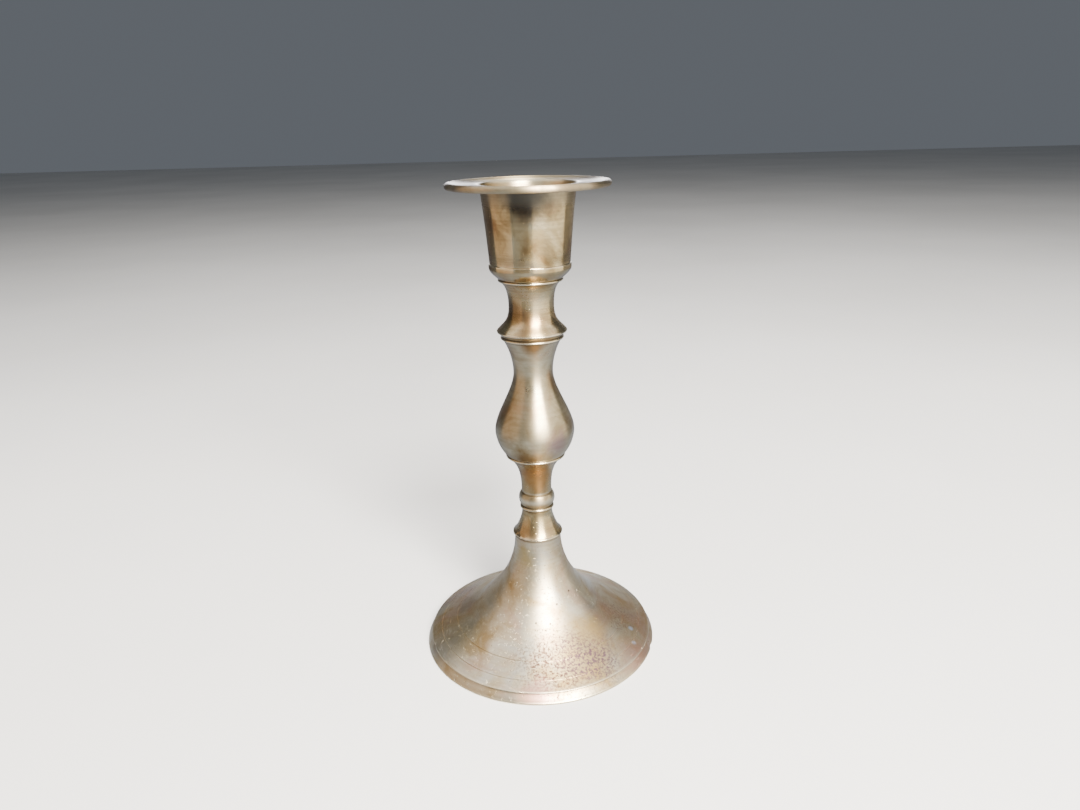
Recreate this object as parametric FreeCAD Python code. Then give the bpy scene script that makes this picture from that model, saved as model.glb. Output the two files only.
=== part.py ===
import FreeCAD, Part
import math
import os

from FreeCAD import Vector

# A turned brass candlestick: a hollow cast foot, five turned stem sections and a candle cup with a wide
# drip flange, all stacked on one axis and pulled together by a threaded rod with a nut and washers inside
# the foot.
# Millimetres. The axis is Z, the table is z = 0 and each section stands on the one below it.

# Section heights, from the table up. Together they are the height of the candlestick.
FOOT_HEIGHT = 41.1
SKIRT_HEIGHT = 10.9
BEAD_HEIGHT = 5.1
NECK_HEIGHT = 14.1
VASE_HEIGHT = 40.7
KNOP_HEIGHT = 18.6
CUP_HEIGHT = 29.5

# Tie rod, an M5 screw thread at both ends
ROD_RADIUS = 2.5
ROD_CLEARANCE = 0.15
ROD_HOLE_RADIUS = ROD_RADIUS + ROD_CLEARANCE
THREAD_PITCH = 0.8
THREAD_DEPTH = 0.49
THREAD_FIT = 0.05
THREAD_ROOT_OVERLAP = 0.1  # how deep the ridge of the thread is sunk into the rod
THREAD_ROOT_SHARE = 0.44  # half the ridge's width at its root, as a share of the pitch
THREAD_REACH = 8.2  # up into the cup, from the end of the cup's spigot
THREAD_LEAD = 0.6  # plain cone at each end of the rod
TAPPED_HOLE_SPARE = 0.5
ROD_LOWER_THREAD = 15.0
ROD_STICK_OUT = 3.5  # below the nut

# What is on the rod, under the foot
WASHER_RADIUS = ROD_HOLE_RADIUS + 4.35
WASHER_THICKNESS = 1.2
LOCK_WASHER_RADIUS = ROD_HOLE_RADIUS + 1.95
LOCK_WASHER_THICKNESS = 1.3
LOCK_WASHER_GAP = 0.7
LOCK_WASHER_SLANT = 25.0  # degrees from the axis
NUT_WALL = 1.5
NUT_ACROSS_FLATS = 2 * (ROD_RADIUS + NUT_WALL)
NUT_THICKNESS = 4.0
NUT_CORNER_ANGLE = 30.0

# Joints between sections: a spigot on one sits in a recess of the other, and the shoulders take the load.
RADIAL_FIT = 0.05
END_GAP = 0.2
SPIGOT_WALL = 2.35
SPIGOT_RADIUS = ROD_HOLE_RADIUS + SPIGOT_WALL
SPIGOT_LENGTH = 4.0
SLIM_SPIGOT_WALL = 1.25
SLIM_SPIGOT_RADIUS = ROD_HOLE_RADIUS + SLIM_SPIGOT_WALL
SLIM_SPIGOT_GRIP = 2.6  # what reaches into the skirt collar after passing the bead ring
FOOT_SPIGOT_WALL = 1.95
FOOT_SPIGOT_RADIUS = ROD_HOLE_RADIUS + FOOT_SPIGOT_WALL

# Foot
FOOT_RADIUS = 40.9  # where it meets the table
FOOT_DISC_INSET = 1.45  # from there in to the crisp edge above the plinth
FOOT_DISC_RADIUS = FOOT_RADIUS - FOOT_DISC_INSET
FOOT_PLINTH_HEIGHT = 3.35
FOOT_UNDERCUT = 0.75  # how far the groove under the crisp edge is turned in
FOOT_EDGE_THICKNESS = 0.45
FOOT_NECK_RADIUS = 8.05
FOOT_NECK_SWELL = 0.05
FOOT_NECK_STRAIGHT = 2.6  # nearly straight stretch under the shoulder
FOOT_WALL = 2.2
FOOT_RIM_WIDTH = 3.0  # width of the ring that stands on the table
FOOT_RIM_DEPTH = 1.4  # from the table up to where the hollow starts to narrow
FOOT_RIM_TAPER = 0.4
FOOT_BOSS_DEPTH = 14.0  # solid metal in the neck, from the shoulder down to the washer's seat
FOOT_CAVITY_FILLET = 1.2
FOOT_TOE_ROUND = 0.8  # rounding where the plinth meets the table
FOOT_RING_INSETS = (3.6, 9.3)  # two fine turned lines on the top face, measured in from the edge
FOOT_RING_RADIUS = 0.22

# Skirt collar
SKIRT_OVERHANG = 0.57
SKIRT_LIP_RADIUS = FOOT_NECK_RADIUS + SKIRT_OVERHANG
SKIRT_LIP_THICKNESS = 0.8
SKIRT_LIP_ROUND = 0.3
SKIRT_WAIST_WALL = 1.3
SKIRT_WAIST_RADIUS = SLIM_SPIGOT_RADIUS + RADIAL_FIT + SKIRT_WAIST_WALL
SKIRT_WAIST_HEIGHT = 8.4
SKIRT_RIDGE_RADIUS = SKIRT_WAIST_RADIUS + 0.6
SKIRT_RIDGE_THICKNESS = 1.05
SKIRT_TOP_RADIUS = SKIRT_WAIST_RADIUS + 0.1

# Bead ring
BEAD_WALL = 1.35
BEAD_GROOVE_RADIUS = SLIM_SPIGOT_RADIUS + RADIAL_FIT + BEAD_WALL
BEAD_GROOVE_WIDTH = 0.45
BEAD_EDGE_RADIUS = BEAD_GROOVE_RADIUS + 0.3
BEAD_RADIUS = BEAD_EDGE_RADIUS + 0.6

# Lower neck
NECK_SHOULDER = 1.25
NECK_RADIUS = SLIM_SPIGOT_RADIUS + NECK_SHOULDER
NECK_FLARE_START = 1.0
NECK_RIDGE_RADIUS = 10.06
NECK_FLARE_RADIUS = 9.6
NECK_RIDGE_THICKNESS = 0.7

# Vase
VASE_BASE_RADIUS = 9.85
VASE_BELLY_RADIUS = 13.3
VASE_BELLY_HEIGHT = 8.4
VASE_WAIST_RADIUS = 6.5
VASE_WAIST_DROP = 11.9  # from the top of the section down to its waist
VASE_FLARE_RADIUS = 9.75
VASE_RIDGE_RADIUS = 10.26
VASE_RIDGE_THICKNESS = 0.7

# Knop
KNOP_BASE_RADIUS = 9.9
KNOP_LIP_RADIUS = 11.34
KNOP_LIP_HEIGHT = 1.35
KNOP_LIP_THICKNESS = 0.75
KNOP_LIP_ROUND = 0.25
KNOP_WAIST_RADIUS = 7.28
KNOP_WAIST_HEIGHT = 9.8
KNOP_FLARE_RADIUS = 9.75
KNOP_RIDGE_RADIUS = 10.38
KNOP_RIDGE_THICKNESS = 0.7

# Candle cup
CANDLE_BORE_RADIUS = 11.2  # takes a 22 mm candle
CANDLE_BORE_LENGTH = 14.0
CUP_WALL = 1.52  # at its foot, from where it thickens to the top
CUP_WALL_SPREAD = 2.03
CUP_WALL_FOOT_RADIUS = CANDLE_BORE_RADIUS + CUP_WALL
CUP_WALL_TOP_RADIUS = CUP_WALL_FOOT_RADIUS + CUP_WALL_SPREAD
CUP_BEAD_PROUD = 0.31
CUP_BEAD_RADIUS = CUP_WALL_FOOT_RADIUS + CUP_BEAD_PROUD
CUP_BEAD_HEIGHT = 3.5
CUP_BEAD_WIDTH = 1.3
CUP_BEAD_ROUND = 0.15
CUP_BASE_RADIUS = CUP_BEAD_RADIUS - 2.83
CUP_FLOOR_HEIGHT = 7.1
CUP_MOUTH_RADIUS = CANDLE_BORE_RADIUS + 3.6
CUP_MOUTH_ROUND = 1.6  # the rounded edge of the mouth, in from the flange
CUP_MOUTH_DROP = 0.85
FLANGE_WIDTH = 10.65
FLANGE_RADIUS = CUP_WALL_TOP_RADIUS + FLANGE_WIDTH
FLANGE_RIM_THICKNESS = 2.1
FLANGE_RIM_SLOPE = 2.6  # from the rim in to the dished face
FLANGE_DISH = 0.55  # how far the top face sinks between rim and mouth
FLANGE_FALL = 0.1
FLANGE_FILLET_HEIGHT = 0.7
FLANGE_FILLET_WIDTH = 0.9

# Seams: each section ends in a rounded ridge with a hair-thin groove above it
RIDGE_ROUND = 0.2
SEAM_GROOVE = 0.1
SEAM_STEP = 0.15

# Where each section's shoulder is, and the levels of the hardware under the boss
SKIRT_Z = FOOT_HEIGHT
BEAD_Z = SKIRT_Z + SKIRT_HEIGHT
NECK_Z = BEAD_Z + BEAD_HEIGHT
VASE_Z = NECK_Z + NECK_HEIGHT
KNOP_Z = VASE_Z + VASE_HEIGHT
CUP_Z = KNOP_Z + KNOP_HEIGHT
TOP_Z = CUP_Z + CUP_HEIGHT
BOSS_Z = FOOT_HEIGHT - FOOT_BOSS_DEPTH
WASHER_Z = BOSS_Z - WASHER_THICKNESS
LOCK_WASHER_Z = WASHER_Z - LOCK_WASHER_THICKNESS
NUT_Z = LOCK_WASHER_Z - NUT_THICKNESS
ROD_BOTTOM_Z = NUT_Z - ROD_STICK_OUT
CUP_SPIGOT_Z = CUP_Z - SPIGOT_LENGTH
ROD_TOP_Z = CUP_SPIGOT_Z + THREAD_REACH

UP = Vector(0, 0, 1)


class Outline:
    """Half a section of a turned part: X is the radius, Z the height, and each call adds one edge."""

    def __init__(self, radius, height):
        self.start = Vector(radius, 0, height)
        self.end = self.start
        self.edges = []

    def line(self, radius, height):
        target = Vector(radius, 0, height)
        if target.distanceToPoint(self.end) > 1e-6:
            self.edges.append(Part.makeLine(self.end, target))
            self.end = target
        return self

    def arc(self, middle, target):
        middle = Vector(middle[0], 0, middle[1])
        target = Vector(target[0], 0, target[1])
        self.edges.append(Part.Arc(self.end, middle, target).toShape())
        self.end = target
        return self

    def curve(self, first_handle, second_handle, target):
        """A cubic curve to target. The handles are steps (radius, height) from its start and its end."""
        target = Vector(target[0], 0, target[1])
        first = self.end + Vector(first_handle[0], 0, first_handle[1])
        second = target + Vector(second_handle[0], 0, second_handle[1])
        bezier = Part.BezierCurve()
        bezier.setPoles([self.end, first, second, target])
        self.edges.append(bezier.toShape())
        self.end = target
        return self

    def through(self, points):
        """A smooth curve through the points, starting at the outline's present end."""
        spline = Part.BSplineCurve()
        spline.interpolate([self.end] + points)
        self.edges.append(spline.toShape())
        self.end = points[-1]
        return self

    def turned(self):
        """The solid swept by the outline round the axis."""
        self.line(self.start.x, self.start.z)
        face = Part.Face(Part.Wire(self.edges))
        return face.revolve(Vector(0, 0, 0), UP, 360)


def cylinder(radius, bottom, top):
    return Part.makeCylinder(radius, top - bottom, Vector(0, 0, bottom))


def rod_hole(bottom, top):
    """The clearance hole that lets the rod through a section."""
    return cylinder(ROD_HOLE_RADIUS, bottom, top)


def recess(spigot_radius, spigot_length, shoulder, direction):
    """The hole that takes a spigot: it starts at the shoulder and runs up (1) or down (-1)."""
    far = shoulder + direction * (spigot_length + END_GAP)
    return cylinder(spigot_radius + RADIAL_FIT, min(shoulder, far), max(shoulder, far))


def thread_ridge(radius, first_z, turns):
    """The ridge of an external screw thread of the given outside radius, wound up from first_z."""
    root = radius - THREAD_DEPTH
    buried = root - THREAD_ROOT_OVERLAP
    half_root = THREAD_PITCH * THREAD_ROOT_SHARE
    half_crest = THREAD_PITCH / 16
    helix = Part.makeLongHelix(THREAD_PITCH, THREAD_PITCH * turns, root, 0, False)
    helix.translate(Vector(0, 0, first_z))
    corners = [
        Vector(buried, 0, first_z - half_root),
        Vector(radius, 0, first_z - half_crest),
        Vector(radius, 0, first_z + half_crest),
        Vector(buried, 0, first_z + half_root),
    ]
    sweep = Part.BRepOffsetAPI.MakePipeShell(Part.Wire(helix))
    sweep.setFrenetMode(True)
    sweep.add(Part.makePolygon(corners + corners[:1]))
    sweep.build()
    sweep.makeSolid()
    return sweep.shape()


def rod_thread(low, high):
    """The rod's own ridge between two heights: whole turns, with half a pitch left plain at each end."""
    turns = math.floor((high - low) / THREAD_PITCH) - 1
    return thread_ridge(ROD_RADIUS, low + THREAD_PITCH / 2, turns)


def tapped_thread(low, high):
    """What rod_thread(low, high) screws into: the same thread with clearance, a turn longer at each end."""
    turns = math.floor((high - low) / THREAD_PITCH) + 1
    return thread_ridge(ROD_RADIUS + THREAD_FIT, low - THREAD_PITCH / 2, turns)


def make_foot():
    edge_top = FOOT_PLINTH_HEIGHT + FOOT_EDGE_THICKNESS
    groove = FOOT_DISC_RADIUS - FOOT_UNDERCUT
    neck_start = FOOT_HEIGHT - FOOT_NECK_STRAIGHT
    disc_edge = FOOT_DISC_RADIUS - FOOT_EDGE_THICKNESS / 3
    outer = Outline(0, 0).line(FOOT_RADIUS - FOOT_TOE_ROUND / 2, 0)
    outer.arc((FOOT_RADIUS, FOOT_TOE_ROUND / 2), (FOOT_RADIUS - FOOT_TOE_ROUND / 4, FOOT_TOE_ROUND))
    outer.curve((-0.5, 0.9), (0.25, -0.7), (groove, FOOT_PLINTH_HEIGHT))
    outer.line(disc_edge, FOOT_PLINTH_HEIGHT)
    outer.arc((FOOT_DISC_RADIUS, FOOT_PLINTH_HEIGHT + FOOT_EDGE_THICKNESS / 2), (disc_edge, edge_top))
    flare_start = outer.end
    outer.curve((-13.0, 6.0), (1.6, -18.9), (FOOT_NECK_RADIUS + FOOT_NECK_SWELL, neck_start))
    flare = outer.edges[-1].Curve
    outer.curve((-0.1, 0.9), (0, -0.9), (FOOT_NECK_RADIUS, FOOT_HEIGHT))
    outer.line(0, FOOT_HEIGHT)
    foot = outer.turned()

    # The two fine lines are cut where the flare passes their radii.
    for inset in FOOT_RING_INSETS:
        radius = flare_start.x - inset
        at = point_at_radius(flare, radius)
        foot = foot.cut(Part.makeTorus(radius, FOOT_RING_RADIUS, Vector(0, 0, at.z), UP))

    foot = foot.cut(foot_cavity(flare))
    spigot = cylinder(FOOT_SPIGOT_RADIUS, FOOT_HEIGHT, FOOT_HEIGHT + SPIGOT_LENGTH)
    return foot.fuse(spigot).cut(rod_hole(0, FOOT_HEIGHT + SPIGOT_LENGTH))


def point_at_radius(curve, radius):
    """The point of a flare, whose radius falls along it, that lies at the given radius."""
    low = 0.0
    high = 1.0
    for _ in range(40):
        middle = (low + high) / 2
        if curve.value(middle).x > radius:
            low = middle
        else:
            high = middle
    return curve.value(low)


def foot_cavity(flare):
    """The hollow under the foot, one wall's thickness inside the flare and flat under the boss."""
    inner = []
    for step in range(1, 10):
        share = step / 10
        tangent = flare.tangent(share)[0]
        inward = Vector(tangent.z, 0, -tangent.x)
        if inward.z > 0:
            inward = -inward
        inner.append(flare.value(share) + inward * FOOT_WALL)
    rim = FOOT_RADIUS - FOOT_RIM_WIDTH
    hollow = Outline(0, 0).line(rim, 0).line(rim - FOOT_RIM_TAPER, FOOT_RIM_DEPTH)
    hollow.through(inner)
    hollow.line(0, inner[-1].z)
    hollow = hollow.turned().common(cylinder(FOOT_RADIUS, 0, BOSS_Z))
    ceiling = [edge for edge in hollow.Edges if is_circle_at(edge, BOSS_Z)]
    return hollow.makeFillet(FOOT_CAVITY_FILLET, ceiling)


def is_circle_at(edge, height):
    box = edge.BoundBox
    return box.ZLength < 1e-4 and abs(box.ZMin - height) < 1e-4


def make_skirt_collar():
    low = SKIRT_Z
    ridge_bottom = low + SKIRT_HEIGHT - SEAM_GROOVE - SKIRT_RIDGE_THICKNESS
    ridge_top = ridge_bottom + SKIRT_RIDGE_THICKNESS
    lip_foot = SKIRT_LIP_RADIUS - SKIRT_LIP_ROUND
    outline = Outline(0, low).line(lip_foot, low)
    outline.arc((SKIRT_LIP_RADIUS, low + SKIRT_LIP_THICKNESS / 2), (lip_foot, low + SKIRT_LIP_THICKNESS))
    outline.curve((-1.35, 1.1), (0, -1.6), (SKIRT_WAIST_RADIUS, low + SKIRT_WAIST_HEIGHT))
    outline.line(SKIRT_WAIST_RADIUS, ridge_bottom)
    outline.arc((SKIRT_RIDGE_RADIUS, (ridge_bottom + ridge_top) / 2), (SKIRT_TOP_RADIUS, ridge_top))
    outline.line(SKIRT_TOP_RADIUS, low + SKIRT_HEIGHT)
    outline.line(0, low + SKIRT_HEIGHT)
    collar = outline.turned()
    collar = collar.cut(recess(FOOT_SPIGOT_RADIUS, SPIGOT_LENGTH, low, 1))
    collar = collar.cut(recess(SLIM_SPIGOT_RADIUS, SLIM_SPIGOT_GRIP, BEAD_Z, -1))
    return collar.cut(rod_hole(low, BEAD_Z))


def make_bead_ring():
    low = BEAD_Z
    bead_bottom = low + BEAD_GROOVE_WIDTH
    bead_top = low + BEAD_HEIGHT - BEAD_GROOVE_WIDTH
    outline = Outline(SLIM_SPIGOT_RADIUS + RADIAL_FIT, low).line(BEAD_GROOVE_RADIUS, low)
    outline.line(BEAD_GROOVE_RADIUS, bead_bottom)
    outline.line(BEAD_EDGE_RADIUS, bead_bottom)
    outline.arc((BEAD_RADIUS, (bead_bottom + bead_top) / 2), (BEAD_EDGE_RADIUS, bead_top))
    outline.line(BEAD_GROOVE_RADIUS, bead_top)
    outline.line(BEAD_GROOVE_RADIUS, low + BEAD_HEIGHT)
    outline.line(SLIM_SPIGOT_RADIUS + RADIAL_FIT, low + BEAD_HEIGHT)
    return outline.turned()


def make_lower_neck():
    low = NECK_Z
    spigot_end = low - BEAD_HEIGHT - SLIM_SPIGOT_GRIP
    ridge_bottom = low + NECK_HEIGHT - SEAM_GROOVE - NECK_RIDGE_THICKNESS
    ridge_top = ridge_bottom + NECK_RIDGE_THICKNESS
    outline = Outline(0, spigot_end).line(SLIM_SPIGOT_RADIUS, spigot_end).line(SLIM_SPIGOT_RADIUS, low)
    outline.line(NECK_RADIUS, low).line(NECK_RADIUS, low + NECK_FLARE_START)
    outline.curve((0, 6.7), (-3.0, -2.6), (NECK_FLARE_RADIUS, ridge_bottom))
    ridge_edge = NECK_RIDGE_RADIUS - RIDGE_ROUND
    outline.line(ridge_edge, ridge_bottom)
    outline.arc((NECK_RIDGE_RADIUS, (ridge_bottom + ridge_top) / 2), (ridge_edge, ridge_top))
    outline.line(ridge_edge - SEAM_STEP, low + NECK_HEIGHT)
    outline.line(SPIGOT_RADIUS, VASE_Z).line(SPIGOT_RADIUS, VASE_Z + SPIGOT_LENGTH)
    outline.line(0, VASE_Z + SPIGOT_LENGTH)
    return outline.turned().cut(rod_hole(spigot_end, VASE_Z + SPIGOT_LENGTH))


def make_vase():
    low = VASE_Z
    waist_z = low + VASE_HEIGHT - VASE_WAIST_DROP
    ridge_bottom = low + VASE_HEIGHT - SEAM_GROOVE - VASE_RIDGE_THICKNESS
    ridge_top = ridge_bottom + VASE_RIDGE_THICKNESS
    ridge_edge = VASE_RIDGE_RADIUS - RIDGE_ROUND
    outline = Outline(0, low).line(VASE_BASE_RADIUS - SEAM_STEP, low)
    outline.line(VASE_BASE_RADIUS, low + SEAM_GROOVE)
    outline.curve((2.6, 2.5), (0, -1.6), (VASE_BELLY_RADIUS, low + VASE_BELLY_HEIGHT))
    outline.curve((0, 5.8), (0, -6.3), (VASE_WAIST_RADIUS, waist_z))
    outline.curve((0, 3.8), (-1.8, -2.4), (VASE_FLARE_RADIUS, ridge_bottom))
    outline.line(ridge_edge, ridge_bottom)
    outline.arc((VASE_RIDGE_RADIUS, (ridge_bottom + ridge_top) / 2), (ridge_edge, ridge_top))
    outline.line(ridge_edge - SEAM_STEP, low + VASE_HEIGHT)
    outline.line(0, low + VASE_HEIGHT)
    vase = outline.turned()
    vase = vase.cut(recess(SPIGOT_RADIUS, SPIGOT_LENGTH, low, 1))
    vase = vase.cut(recess(SPIGOT_RADIUS, SPIGOT_LENGTH, KNOP_Z, -1))
    return vase.cut(rod_hole(low, KNOP_Z))


def make_knop():
    low = KNOP_Z
    lip_bottom = low + KNOP_LIP_HEIGHT
    lip_top = lip_bottom + KNOP_LIP_THICKNESS
    lip_edge = KNOP_LIP_RADIUS - KNOP_LIP_ROUND
    ridge_bottom = low + KNOP_HEIGHT - SEAM_GROOVE - KNOP_RIDGE_THICKNESS
    ridge_top = ridge_bottom + KNOP_RIDGE_THICKNESS
    ridge_edge = KNOP_RIDGE_RADIUS - RIDGE_ROUND
    spigot_end = low - SPIGOT_LENGTH
    outline = Outline(0, spigot_end).line(SPIGOT_RADIUS, spigot_end).line(SPIGOT_RADIUS, low)
    outline.line(KNOP_BASE_RADIUS, low)
    outline.curve((0.1, 0.5), (-0.5, -0.1), (lip_edge, lip_bottom))
    outline.arc((KNOP_LIP_RADIUS, lip_bottom + KNOP_LIP_THICKNESS / 2), (lip_edge, lip_top))
    outline.curve((-1.35, 1.85), (0, -5.15), (KNOP_WAIST_RADIUS, low + KNOP_WAIST_HEIGHT))
    outline.curve((0, 5.6), (-1.1, -1.1), (KNOP_FLARE_RADIUS, ridge_bottom))
    outline.line(ridge_edge, ridge_bottom)
    outline.arc((KNOP_RIDGE_RADIUS, (ridge_bottom + ridge_top) / 2), (ridge_edge, ridge_top))
    outline.line(ridge_edge - SEAM_STEP, low + KNOP_HEIGHT)
    outline.line(0, low + KNOP_HEIGHT)
    knop = outline.turned()
    knop = knop.cut(recess(SPIGOT_RADIUS, SPIGOT_LENGTH, CUP_Z, -1))
    return knop.cut(rod_hole(spigot_end, CUP_Z))


def make_candle_cup():
    low = CUP_Z
    bead_top = low + CUP_BEAD_HEIGHT + CUP_BEAD_WIDTH
    rim_bottom = TOP_Z - FLANGE_RIM_THICKNESS
    rim_edge = FLANGE_RADIUS - FLANGE_RIM_THICKNESS / 2
    wall_top = rim_bottom - FLANGE_FILLET_HEIGHT
    corner = CUP_BEAD_ROUND * (1 - math.sqrt(0.5))
    outline = Outline(0, low).line(CUP_BASE_RADIUS, low)
    outline.curve((1.3, 1.15), (0, -1.2), (CUP_BEAD_RADIUS, low + CUP_BEAD_HEIGHT))
    outline.line(CUP_BEAD_RADIUS, bead_top - CUP_BEAD_ROUND)
    outline.arc((CUP_BEAD_RADIUS - corner, bead_top - corner), (CUP_BEAD_RADIUS - CUP_BEAD_ROUND, bead_top))
    outline.line(CUP_WALL_FOOT_RADIUS, bead_top + SEAM_STEP)
    outline.curve((0.5, 6.5), (-0.55, -3.2), (CUP_WALL_TOP_RADIUS, wall_top))
    outline.curve((0.08, 0.45), (-0.5, 0), (CUP_WALL_TOP_RADIUS + FLANGE_FILLET_WIDTH, rim_bottom))
    outline.line(rim_edge, rim_bottom)
    outline.arc((FLANGE_RADIUS, TOP_Z - FLANGE_RIM_THICKNESS / 2), (rim_edge, TOP_Z))
    outline.curve((-0.7, 0), (1.1, 0.1), (rim_edge - FLANGE_RIM_SLOPE, TOP_Z - FLANGE_DISH))
    outline.line(CUP_MOUTH_RADIUS + CUP_MOUTH_ROUND, TOP_Z - FLANGE_DISH - FLANGE_FALL)
    bore_floor = low + CUP_FLOOR_HEIGHT
    bore_top = bore_floor + CANDLE_BORE_LENGTH
    outline.curve((-0.9, 0.02), (0.35, 0.7), (CUP_MOUTH_RADIUS, TOP_Z - FLANGE_DISH - CUP_MOUTH_DROP))
    outline.curve((-1.2, -2.4), (0, 2.2), (CANDLE_BORE_RADIUS, bore_top))
    outline.line(CANDLE_BORE_RADIUS, bore_floor)
    outline.line(0, bore_floor)
    cup = outline.turned().fuse(cylinder(SPIGOT_RADIUS, CUP_SPIGOT_Z, low))
    tapped = cylinder(ROD_RADIUS - THREAD_DEPTH + THREAD_FIT, CUP_SPIGOT_Z, ROD_TOP_Z + TAPPED_HOLE_SPARE)
    return cup.cut(tapped).cut(tapped_thread(CUP_SPIGOT_Z, ROD_TOP_Z - THREAD_LEAD))


def make_tie_rod():
    root = ROD_RADIUS - THREAD_DEPTH
    tip = root - THREAD_LEAD / 2
    lower_start = ROD_BOTTOM_Z + THREAD_LEAD
    lower_end = ROD_BOTTOM_Z + ROD_LOWER_THREAD
    upper_start = CUP_SPIGOT_Z - THREAD_PITCH
    upper_end = ROD_TOP_Z - THREAD_LEAD
    outline = Outline(0, ROD_BOTTOM_Z).line(tip, ROD_BOTTOM_Z).line(root, lower_start)
    outline.line(root, lower_end).line(ROD_RADIUS, lower_end + THREAD_DEPTH)
    outline.line(ROD_RADIUS, upper_start - THREAD_DEPTH).line(root, upper_start)
    outline.line(root, upper_end).line(tip, ROD_TOP_Z)
    outline.line(0, ROD_TOP_Z)
    rod = outline.turned().fuse(rod_thread(lower_start, lower_end))
    return rod.fuse(rod_thread(CUP_SPIGOT_Z, upper_end))


def make_washer():
    return cylinder(WASHER_RADIUS, WASHER_Z, BOSS_Z).cut(rod_hole(WASHER_Z, BOSS_Z))


def make_lock_washer():
    ring = cylinder(LOCK_WASHER_RADIUS, LOCK_WASHER_Z, WASHER_Z).cut(rod_hole(LOCK_WASHER_Z, WASHER_Z))
    middle = (LOCK_WASHER_Z + WASHER_Z) / 2
    slot_height = 3 * LOCK_WASHER_THICKNESS
    slot_corner = Vector(0, -LOCK_WASHER_GAP / 2, 0)
    slot = Part.makeBox(LOCK_WASHER_RADIUS, LOCK_WASHER_GAP, slot_height, slot_corner)
    slot.translate(Vector(0, 0, middle - slot_height / 2))
    slot.rotate(Vector(0, 0, middle), Vector(1, 0, 0), LOCK_WASHER_SLANT)
    return ring.cut(slot)


def make_nut():
    corner = NUT_ACROSS_FLATS / math.sqrt(3)
    corners = [Vector(corner, 0, NUT_Z)]
    for step in range(1, 6):
        turn = math.radians(60 * step)
        corners.append(Vector(corner * math.cos(turn), corner * math.sin(turn), NUT_Z))
    hexagon = Part.Face(Part.makePolygon(corners + corners[:1])).extrude(Vector(0, 0, NUT_THICKNESS))
    flat = NUT_ACROSS_FLATS / 2
    drop = (corner - flat) * math.tan(math.radians(NUT_CORNER_ANGLE))
    rounded = Outline(0, NUT_Z).line(flat, NUT_Z).line(corner, NUT_Z + drop)
    rounded.line(corner, LOCK_WASHER_Z - drop).line(flat, LOCK_WASHER_Z).line(0, LOCK_WASHER_Z)
    core = cylinder(ROD_RADIUS - THREAD_DEPTH + THREAD_FIT, NUT_Z, LOCK_WASHER_Z)
    thread = tapped_thread(ROD_BOTTOM_Z + THREAD_LEAD, ROD_BOTTOM_Z + ROD_LOWER_THREAD)
    return hexagon.common(rounded.turned()).cut(core).cut(thread)


PIECES = {
    "foot": make_foot,
    "skirt_collar": make_skirt_collar,
    "bead_ring": make_bead_ring,
    "lower_neck": make_lower_neck,
    "vase": make_vase,
    "knop": make_knop,
    "candle_cup": make_candle_cup,
    "tie_rod": make_tie_rod,
    "washer": make_washer,
    "lock_washer": make_lock_washer,
    "nut": make_nut,
}

os.makedirs("parts", exist_ok=True)
for name, make in PIECES.items():
    make().exportStep("parts/" + name + ".step")
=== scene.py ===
"""Looks of a turned brass candlestick: seven brass pieces and the steel parts that hold them on one axis."""

import logging
import math
from dataclasses import dataclass
from enum import Enum
from typing import Any, Sequence

import bpy
import numpy as np
from mathutils import Matrix, Vector

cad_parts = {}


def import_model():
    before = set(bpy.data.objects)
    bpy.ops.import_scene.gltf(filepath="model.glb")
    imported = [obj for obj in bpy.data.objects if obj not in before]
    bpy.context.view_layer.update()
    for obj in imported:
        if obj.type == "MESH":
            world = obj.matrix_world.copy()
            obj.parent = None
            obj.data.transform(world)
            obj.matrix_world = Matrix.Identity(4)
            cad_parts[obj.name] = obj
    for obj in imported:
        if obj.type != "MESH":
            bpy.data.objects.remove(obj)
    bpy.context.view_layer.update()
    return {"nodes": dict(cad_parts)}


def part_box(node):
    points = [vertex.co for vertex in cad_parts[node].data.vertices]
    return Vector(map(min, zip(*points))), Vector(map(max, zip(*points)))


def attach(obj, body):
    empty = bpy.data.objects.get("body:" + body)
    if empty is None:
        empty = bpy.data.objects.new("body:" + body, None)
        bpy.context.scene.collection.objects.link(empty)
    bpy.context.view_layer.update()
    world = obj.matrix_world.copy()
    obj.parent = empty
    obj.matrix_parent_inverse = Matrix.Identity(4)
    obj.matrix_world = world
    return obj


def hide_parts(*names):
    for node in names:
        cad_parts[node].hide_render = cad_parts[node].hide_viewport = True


MM = 0.001
log = logging.getLogger("candlestick")

Point = tuple[float, float]
Place = tuple[float, float, float]
Tree = bpy.types.NodeTree
Socket = bpy.types.NodeSocket
Object = bpy.types.Object


class Slot(Enum):
    """The record's material slots."""

    CAST = "cast_brass"
    TURNED = "turned_brass"
    STEEL = "plated_steel"


class Mark(Enum):
    """What a vertex attribute says about the surface there."""

    RUBBED = "rubbed"
    GRIMY = "grimy"
    DULLED = "dulled"


def linear(code: str, alpha: float = 1.0) -> tuple[float, float, float, float]:
    """Turns an sRGB hex colour to the linear values that Blender's sockets take.

    Args:
        code: Six hex digits after a hash sign.
        alpha: The fourth value.

    Returns:
        Red, green, blue and alpha.
    """
    parts = [int(code[i:i + 2], 16) / 255 for i in (1, 3, 5)]
    red, green, blue = [p / 12.92 if p <= 0.04045 else ((p + 0.055) / 1.055) ** 2.4 for p in parts]
    return red, green, blue, alpha


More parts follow.
